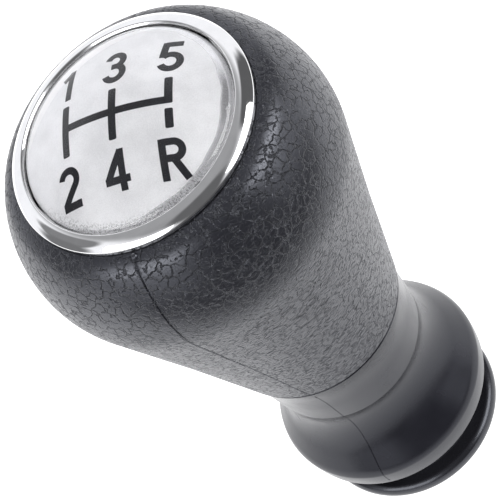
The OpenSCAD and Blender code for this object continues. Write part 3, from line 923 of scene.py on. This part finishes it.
# Soft boxes: name, azimuth and elevation in degrees, distance, width, height and power
LAMPS = (
    ("soft_box_left", -22, 32, 0.7, 0.56, 0.38, 2.2),
    ("soft_box_right", 95, 32, 0.7, 0.56, 0.38, 3.1),
)
WHITE = (1, 1, 1, 1)
# The studio round the knob: its light, and darker places, each with azimuth, elevation, inner and
# outer reach in degrees, and light
STUDIO_LIGHT = 1.07
STUDIO_TINT = (0.98, 0.985, 1.02, 1)
DARK_PLACES = (
    (36, 80, 26, 44, 0.35),
    (-144, 72, 20, 38, 0.38),
    (36, 8, 24, 40, 0.10),
    (36, 52, 17, 28, 0.14),
    (137, 38, 17, 25, 0.12),
    (137, 18, 15, 24, 0.12),
    (-84, 36, 15, 20, 0.25),
    (-74, 14, 12, 22, 0.2),
)
# The white paper under the knob glows. Between these distances towards the camera, what mirrors in
# the knob passes from the paper to a dark floor
PAPER_GLOW = 0.97
PAPER_COLOUR = (0.7, 0.7, 0.7, 1)
PAPER_EDGE = (30 * MM, 115 * MM)
FLOOR_COLOUR = (0.1, 0.1, 0.1, 1)


def towards(azimuth, elevation):
    """Unit vector to a place round the knob, by degrees. Azimuth 0 is -Y, and 90 is +X."""
    azimuth, elevation = math.radians(azimuth), math.radians(elevation)
    return Vector((math.sin(azimuth) * math.cos(elevation),
                   -math.cos(azimuth) * math.cos(elevation), math.sin(elevation)))


def camera(scene):
    """The photograph's camera."""
    clear_selection()
    back = towards(CAMERA_AZIMUTH, CAMERA_ELEVATION)
    place_at = Vector((0, 0, AIM_HEIGHT)) + back * CAMERA_DISTANCE
    roll = Matrix.Rotation(math.radians(CAMERA_ROLL), 3, "Z")
    turn = (-back).to_track_quat("-Z", "Y").to_matrix() @ roll
    bpy.ops.object.camera_add(location=place_at, rotation=turn.to_euler())
    cam = bpy.context.object
    cam.name = "photo_camera"
    cam.data.sensor_width = SENSOR_WIDTH
    cam.data.lens = FOCAL_LENGTH
    cam.data.clip_start, cam.data.clip_end = CAMERA_REACH
    scene.camera = cam


def soft_box(name, azimuth, elevation, distance, width, height, power):
    """A lamp with a wide face that looks at the middle of the knob."""
    clear_selection()
    way = towards(azimuth, elevation)
    at = Vector((0, 0, AIM_HEIGHT)) + way * distance
    bpy.ops.object.light_add(type="AREA", location=at,
                             rotation=(-way).to_track_quat("-Z", "Y").to_euler())
    lamp = bpy.context.object
    lamp.name = name
    lamp.data.shape = "RECTANGLE"
    lamp.data.size = width
    lamp.data.size_y = height
    lamp.data.energy = power


def floor_paint():
    """White paper that keeps the knob's shadow, with the dark floor that mirrors in the knob."""
    material = bpy.data.materials.new("studio paper")
    material.use_nodes = True
    tree = NodeTree(material.node_tree)
    tree.nodes.clear()
    glow, lit = tree.add("Emission", WHITE, PAPER_GLOW), tree.add("BsdfDiffuse", PAPER_COLOUR)
    paper = tree.add("AddShader", glow.outputs[0], lit.outputs[0])
    dark = tree.add("BsdfDiffuse", FLOOR_COLOUR)
    front = tree.dot(tree.add("TexCoord").outputs["Object"], towards(CAMERA_AZIMUTH, 0))
    past = tree.math("MULTIPLY", tree.ranged(front, *PAPER_EDGE), tree.unseen())
    both = tree.add("MixShader", past, paper.outputs[0], dark.outputs[0])
    tree.add("OutputMaterial", both.outputs[0])
    return material


def light_world(scene):
    """A white studio with darker places, all of it plain white to the camera."""
    scene.world = bpy.data.worlds.new("studio")
    scene.world.use_nodes = True
    tree = NodeTree(scene.world.node_tree)
    tree.nodes.clear()
    direction = tree.add("TexCoord").outputs["Generated"]
    level = STUDIO_LIGHT
    for azimuth, elevation, inner, outer, light in DARK_PLACES:
        reach = tree.ranged(tree.dot(direction, towards(azimuth, elevation)),
                            math.cos(math.radians(outer)), math.cos(math.radians(inner)))
        mix = tree.add("Mix", reach)
        tree.feed(level, mix, "A")
        tree.feed(light, mix, "B")
        level = mix.outputs[0]
    studio = tree.add("Background", STUDIO_TINT, level)
    white = tree.add("Background", WHITE)
    both = tree.add("MixShader", tree.unseen(), white.outputs[0], studio.outputs[0])
    tree.add("OutputWorld", both.outputs[0])


# ---------------------------------------------------------------- operators


class KNOB_OT_grip(bpy.types.Operator):
    """Make the soft grained grip"""

    bl_idname = "knob.grip"
    bl_label = "Grip"
    bl_options = {"REGISTER", "UNDO"}

    def execute(self, context):
        scene = context.scene
        s = scene.knob_grip
        side = grip_outline(s)
        roll = arc_up_from(side[0], s.rim_roll, math.pi, s.rim_angle)
        top = side[0].y
        core_top = top - s.rim_thickness
        foot = GRIP_LOW.z
        inner = [
            Vector((s.seam_radius - s.skin_thickness, foot)),
            Vector((s.mouth_radius - s.band_height * math.tan(s.core_draft),
                    core_top - s.band_height)),
            Vector((s.mouth_radius - s.mouth_step, core_top)),
            Vector((s.mouth_radius, core_top)),
            Vector((s.mouth_radius, top - 2 * s.rim_roll)),
        ]
        piece = spun("soft_grip", outline([roll]) + side[1:] + inner)
        bevel_ring(piece, foot, s.seam_radius, s.foot_round)
        end = side[-1] + s.foot_round * (side[-2] - side[-1]).normalized()
        parting_line(piece, side[2:-1] + [end], s.parting_width, s.parting_depth)
        gate = gate_mark(s.gate_radius, side[2])
        piece = joined([piece, gate], "soft_grip")
        place(piece, "soft_grip", grained_skin(scene.knob_colours.grip), "grip_skin")
        return {"FINISHED"}


class KNOB_OT_collar(bpy.types.Operator):
    """Make the smooth bell-shaped collar with its gussets"""

    bl_idname = "knob.collar"
    bl_label = "Collar"
    bl_options = {"REGISTER", "UNDO"}

    def execute(self, context):
        scene = context.scene
        s = scene.knob_collar
        top = Vector((scene.knob_grip.seam_radius - s.seam_step, COLLAR_HIGH.z))
        outer = outline(neck_arcs(s, top) + bell_arcs(s, s.brow_angle, s.brow_radius))
        inner = [p for p in outline(bell_arcs(s, 0, 0), s.wall) if p.x > s.sleeve_radius]
        inner[-1] = Vector((inner[-1].x, s.lip_base))
        ceiling = inner[0].y
        sleeve = [
            Vector((s.sleeve_radius, ceiling)),
            Vector((s.sleeve_radius, COLLAR_LOW.z)),
            Vector((s.bore_radius, COLLAR_LOW.z)),
            Vector((s.bore_radius, COLLAR_HIGH.z)),
        ]
        piece = spun("smooth_collar", outer + inner[::-1] + sleeve)
        bevel_ring(piece, COLLAR_HIGH.z, top.x, s.edge_round)
        bevel_ring(piece, s.lip_base, outer[-1].x, s.edge_round)
        bevel_ring(piece, s.lip_base, inner[-1].x, s.edge_round)
        parting_line(piece, outer[1:-1], s.parting_width, s.parting_depth)
        gusset_top = [p for p in inner if p.y >= s.gusset_base]
        section = [Vector((s.sleeve_radius - s.edge_round, s.gusset_base)),
                   Vector((gusset_top[-1].x + s.edge_round, s.gusset_base))]
        section += [p + Vector((s.edge_round, 0)) for p in gusset_top[::-1]]
        section.append(Vector((s.sleeve_radius - s.edge_round, gusset_top[0].y)))
        gusset = plate_of(section, s.gusset_thickness)
        piece = joined([piece] + turned_copies(gusset, s.gusset_count), "smooth_collar")
        place(piece, "collar_plastic",
              moulded("gloss collar plastic", scene.knob_colours.collar, 0.24), "collar")
        return {"FINISHED"}


class KNOB_OT_gaiter_ring(bpy.types.Operator):
    """Make the base flange with its tube, and shade the slit bush"""

    bl_idname = "knob.gaiter_ring"
    bl_label = "Gaiter ring"
    bl_options = {"REGISTER", "UNDO"}

    def execute(self, context):
        scene = context.scene
        s = scene.knob_flange
        rim = FLANGE_HIGH.x
        upper = arc_from(Vector((rim - s.edge_radius, s.thickness)), s.edge_radius, math.pi / 2, 0)
        lower = arc_from(Vector((rim, s.edge_radius)), s.edge_radius, 0, -math.pi / 2)
        root = arc_from(Vector((s.tube_radius, s.thickness + s.corner)), -s.corner, 0, math.pi / 2)
        section = [Vector((s.bore_radius, FLANGE_HIGH.z)), Vector((s.tube_radius, FLANGE_HIGH.z))]
        section += outline([root, upper, lower]) + [Vector((s.bore_radius, 0))]
        piece = spun("gaiter_flange", section)
        bevel_ring(piece, 0, s.bore_radius, s.corner)
        bevel_ring(piece, FLANGE_HIGH.z, s.tube_radius, s.corner)
        place(piece, "base_plastic",
              moulded("black base plastic", scene.knob_colours.flange, 0.22, gloss=0.65),
              "gaiter_ring")
        bush = merged_copy("lever_bush", "slit_bush")
        place(bush, "bush_plastic",
              moulded("bush plastic", scene.knob_colours.bush, 0.5), "lever_bush")
        return {"FINISHED"}


class KNOB_OT_chrome_ring(bpy.types.Operator):
    """Make the chrome ring round the badge"""

    bl_idname = "knob.chrome_ring"
    bl_label = "Chrome ring"
    bl_options = {"REGISTER", "UNDO"}

    def execute(self, context):
        scene = context.scene
        s = scene.knob_ring
        crest = DOME_LOW.z + s.dome_edge + s.crest_drop
        piece = spun("chrome_bezel", ring_outline(s, RING_HIGH.x, crest))
        place(piece, "chrome_ring", chrome_plating(scene.knob_colours.chrome), "bezel_ring")
        return {"FINISHED"}


# Refractive index of the clear resin, and of its underside, where it sits on the plate. Faces
# whose normal points further down than this are the underside
RESIN_INDEX, NO_REFRACTION = 1.49, 1.0
UNDERSIDE = -0.3


class KNOB_OT_badge(bpy.types.Operator):
    """Make the silver plate, its printed shift pattern and the clear dome"""

    bl_idname = "knob.badge"
    bl_label = "Badge"
    bl_options = {"REGISTER", "UNDO"}

    def execute(self, context):
        scene = context.scene
        ring, s, paint = scene.knob_ring, scene.knob_pattern, scene.knob_colours
        edge, foot = DOME_HIGH.x, DOME_LOW.z
        rise = PLATE_HIGH.z - foot
        under = PLATE_LOW.z - foot
        top = cap_arc(edge, foot, rise)
        low = cap_arc(edge, foot, rise, lift=under)
        plate = spun("silver_disc", outline([top]) + outline([low])[::-1], closed=False)
        place(plate, "silver_plate", silver_plate(paint.plate), "badge_plate")

        dome_rise = DOME_HIGH.z - foot - ring.dome_edge
        over = cap_arc(edge, foot + ring.dome_edge, dome_rise)
        inside = cap_arc(edge, foot, rise, lift=ring.dome_gap)
        dome = spun("clear_cap", outline([over]) + outline([inside])[::-1], closed=False)
        bevel_ring(dome, foot + ring.dome_edge, edge, ring.dome_round)
        place(dome, "clear_dome", clear_resin("clear resin", RESIN_INDEX), "dome_lens")
        dome.data.materials.append(clear_resin("clear resin on the plate", NO_REFRACTION))
        for face in dome.data.polygons:
            face.material_index = 1 if face.normal.z < UNDERSIDE else 0
        dome.visible_shadow = False

        half, left, right = s.bar_width / 2, -s.left_lane, s.right_lane
        bars = [
            bar(left - half, -s.bar_down, left + half, s.bar_up, s.bar_corner),
            bar(-half, -s.bar_down, half, s.bar_up, s.bar_corner),
            bar(right - half, -half, right + half, s.bar_up, s.bar_corner),
            bar(right - half, -s.bar_down, right + half, -s.bar_gap, s.bar_corner),
            bar(left, -half, right + half, half, s.bar_corner),
        ]
        inked = ink(paint.print_ink)
        pattern = laid_on(joined(bars, "shift_bars"), plate, s.relief)
        place(pattern, "base_plastic", inked)
        strokes = []
        for y, row in ((s.upper_row, "135"), (-s.lower_row, "24R")):
            for x, sign in zip((left, 0, right), row):
                strokes += sign_strokes(sign, x, y, s.number_height, s.stroke_width)
        numbers = laid_on(joined(strokes, "gear_numbers"), plate, s.relief)
        place(numbers, "base_plastic", inked)
        return {"FINISHED"}


class KNOB_OT_inner_pieces(bpy.types.Operator):
    """Give the pieces inside the knob their finishes"""

    bl_idname = "knob.inner_pieces"
    bl_label = "Inner pieces"
    bl_options = {"REGISTER", "UNDO"}

    def execute(self, context):
        paint = context.scene.knob_colours
        finishes = {
            "grip_core": moulded("core plastic", paint.core, 0.55),
            "badge_seat": moulded("seat plastic", paint.seat, 0.5),
            "badge_pad": foam(paint.pad),
            "spring_clip": brushed_steel(paint.spring),
        }
        for node, material in finishes.items():
            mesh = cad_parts[node].data
            mesh.materials.clear()
            mesh.materials.append(material)
        return {"FINISHED"}


class KNOB_OT_studio(bpy.types.Operator):
    """Set up the floor, the soft light and the camera"""

    bl_idname = "knob.studio"
    bl_label = "Studio"
    bl_options = {"REGISTER", "UNDO"}

    def execute(self, context):
        scene = context.scene
        clear_selection()
        bpy.ops.mesh.primitive_plane_add(size=FLOOR_SIZE, location=(0, 0, -FLOOR_DROP))
        floor = bpy.context.object
        floor.name = "studio_floor"
        floor.data.materials.append(floor_paint())
        light_world(scene)
        for lamp in LAMPS:
            soft_box(*lamp)
        camera(scene)
        scene.view_settings.view_transform = "Standard"
        return {"FINISHED"}


class KNOB_PT_pieces(bpy.types.Panel):
    """Lists the pieces of the knob"""

    bl_idname = "KNOB_PT_pieces"
    bl_label = "Gear shift knob"
    bl_space_type = "VIEW_3D"
    bl_region_type = "UI"
    bl_category = "Knob"

    def draw(self, context):
        for operator in OPERATORS:
            self.layout.operator(operator.bl_idname)


OPERATORS = (
    KNOB_OT_studio,
    KNOB_OT_grip,
    KNOB_OT_collar,
    KNOB_OT_gaiter_ring,
    KNOB_OT_chrome_ring,
    KNOB_OT_badge,
    KNOB_OT_inner_pieces,
)


def register():
    for name, group in GROUPS.items():
        bpy.utils.register_class(group)
        setattr(bpy.types.Scene, name, PointerProperty(type=group))
    for operator in OPERATORS:
        bpy.utils.register_class(operator)
    bpy.utils.register_class(KNOB_PT_pieces)


def unregister():
    bpy.utils.unregister_class(KNOB_PT_pieces)
    for operator in reversed(OPERATORS):
        bpy.utils.unregister_class(operator)
    for name, group in GROUPS.items():
        delattr(bpy.types.Scene, name)
        bpy.utils.unregister_class(group)


def main():
    register()
    bpy.ops.knob.studio()
    bpy.ops.knob.grip()
    bpy.ops.knob.collar()
    bpy.ops.knob.gaiter_ring()
    bpy.ops.knob.chrome_ring()
    bpy.ops.knob.badge()
    bpy.ops.knob.inner_pieces()


if __name__ == "__main__":
    main()
